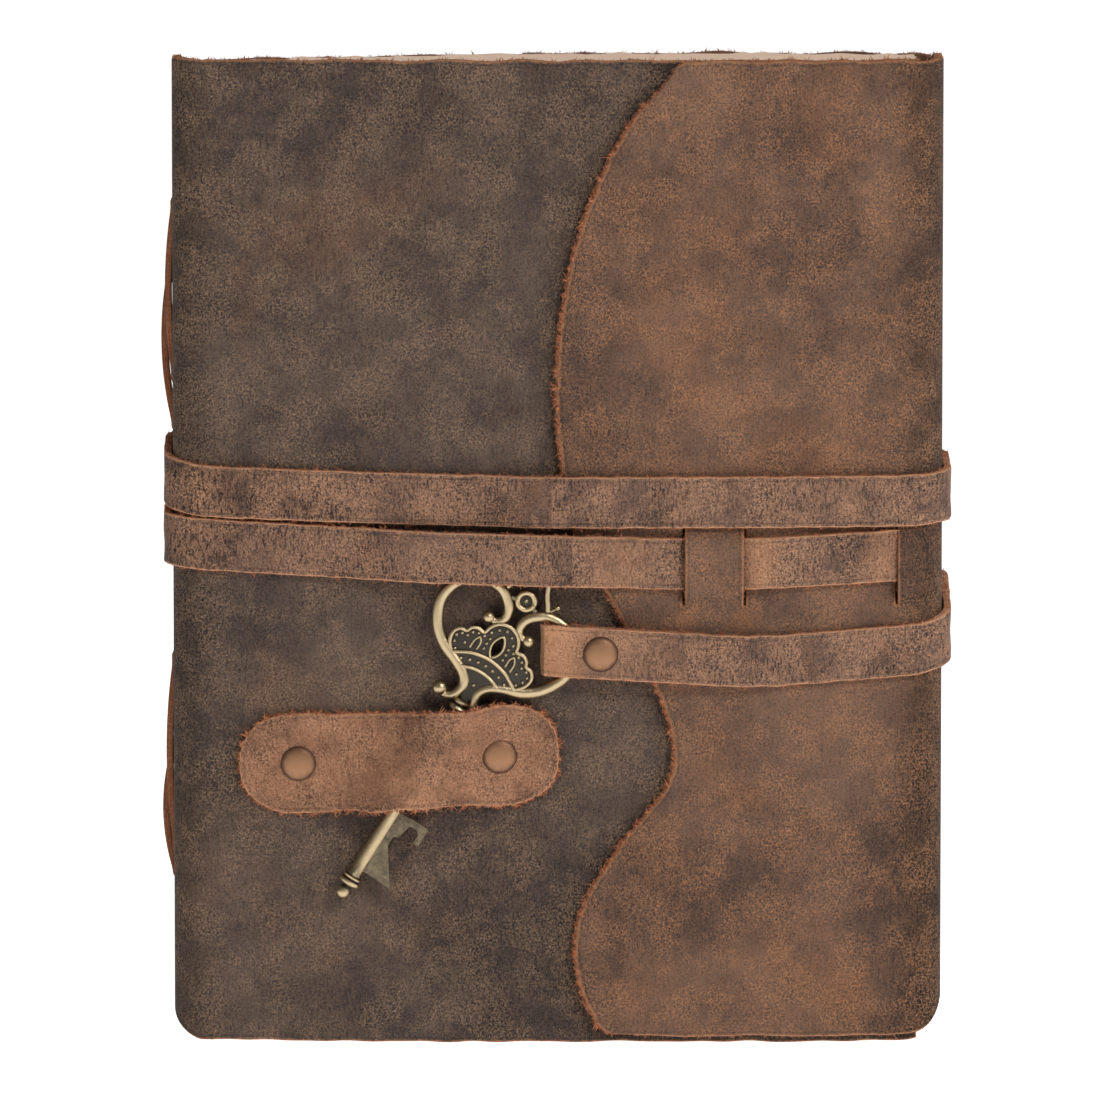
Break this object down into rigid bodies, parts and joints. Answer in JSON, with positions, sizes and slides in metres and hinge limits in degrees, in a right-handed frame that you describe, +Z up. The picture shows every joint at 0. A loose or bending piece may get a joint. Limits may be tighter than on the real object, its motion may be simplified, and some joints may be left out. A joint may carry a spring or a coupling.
{
  "type": "leather journal cover",
  "caption": "Wrap-around leather journal with a curved front flap, a long strap wound round it and an antique key tucked under a riveted keeper.",
  "frame": {"origin": "centre of the bottom of the whole object's box", "axes": "+Z up along the spine, +X from the spine to the fore edge, -Y out of the front where the flap and key are"},
  "size_m": [0.1626, 0.0428, 0.203],
  "materials": {
    "cover_leather": "waxed, worn, dark charcoal brown with tan rubs",
    "flap_leather": "waxed, worn, warm brown with orange pull-up patches",
    "strap_leather": "burnished, creased, reddish brown",
    "keeper_leather": "waxed, mottled, tan brown with raw orange edges",
    "thong_leather": "raw suede side, tan",
    "paper": "handmade deckle-edged paper, cream",
    "key_metal": "antiqued, dark in the recesses and bright on the rims",
    "rivet_metal": "antiqued, scratched"
  },
  "bodies": {
    "book": {"back_cover": "cover_leather", "spine": "cover_leather", "signature_1": "paper", "signature_2": "paper", "signature_3": "paper", "signature_4": "paper", "signature_5": "paper", "signature_6": "paper", "signature_7": "paper", "signature_8": "paper", "thong_upper_front": "thong_leather", "thong_upper_back": "thong_leather", "thong_lower_front": "thong_leather", "thong_lower_back": "thong_leather", "strap_back_upper": "strap_leather", "strap_back_lower": "strap_leather", "strap_spine_upper": "strap_leather", "strap_spine_lower": "strap_leather", "strap_spine_bends": "strap_leather"},
    "front_panel": {"front_cover": "cover_leather", "keeper": "keeper_leather", "keeper_rivet_caps": "rivet_metal", "keeper_rivet_posts": "rivet_metal", "strap_left_upper": "strap_leather", "strap_left_lower": "strap_leather"},
    "fore_edge_panel": {"fore_edge": "cover_leather", "strap_fore_edge_upper": "strap_leather", "strap_fore_edge_key": "strap_leather", "strap_fore_edge_bends": "strap_leather"},
    "flap_panel": {"flap": "flap_leather", "strap_right_upper": "strap_leather", "strap_right_lower": "strap_leather", "strap_threaded_end": "strap_leather", "strap_key_run": "strap_leather", "strap_flap_bends": "strap_leather"},
    "key_and_loop": {"key": "key_metal", "strap_key_loop": "strap_leather", "strap_rivet_cap": "rivet_metal", "strap_rivet_post": "rivet_metal"}
  },
  "joints": [
    {"name": "cover_hinge", "type": "hinge", "parent": "book", "child": "front_panel", "pos_m": [-0.07653, -0.01238, 0], "axis": [0, 0, -1], "range_deg": [0, 165], "deforming": ["strap_spine_bends"]},
    {"name": "fore_edge_fold", "type": "hinge", "parent": "book", "child": "fore_edge_panel", "pos_m": [0.07754, 0.01569, 0], "axis": [0, 0, 1], "range_deg": [0, 90], "deforming": ["strap_fore_edge_bends"]},
    {"name": "flap_fold", "type": "hinge", "parent": "fore_edge_panel", "child": "flap_panel", "pos_m": [0.07754, -0.01489, 0], "axis": [0, 0, 1], "range_deg": [0, 90], "deforming": ["strap_flap_bends"]},
    {"name": "key_slide", "type": "slide", "parent": "flap_panel", "child": "key_and_loop", "axis": [0.5299, 0, 0.848], "range_m": [0, 0.003], "deforming": ["strap_key_run"]}
  ]
}
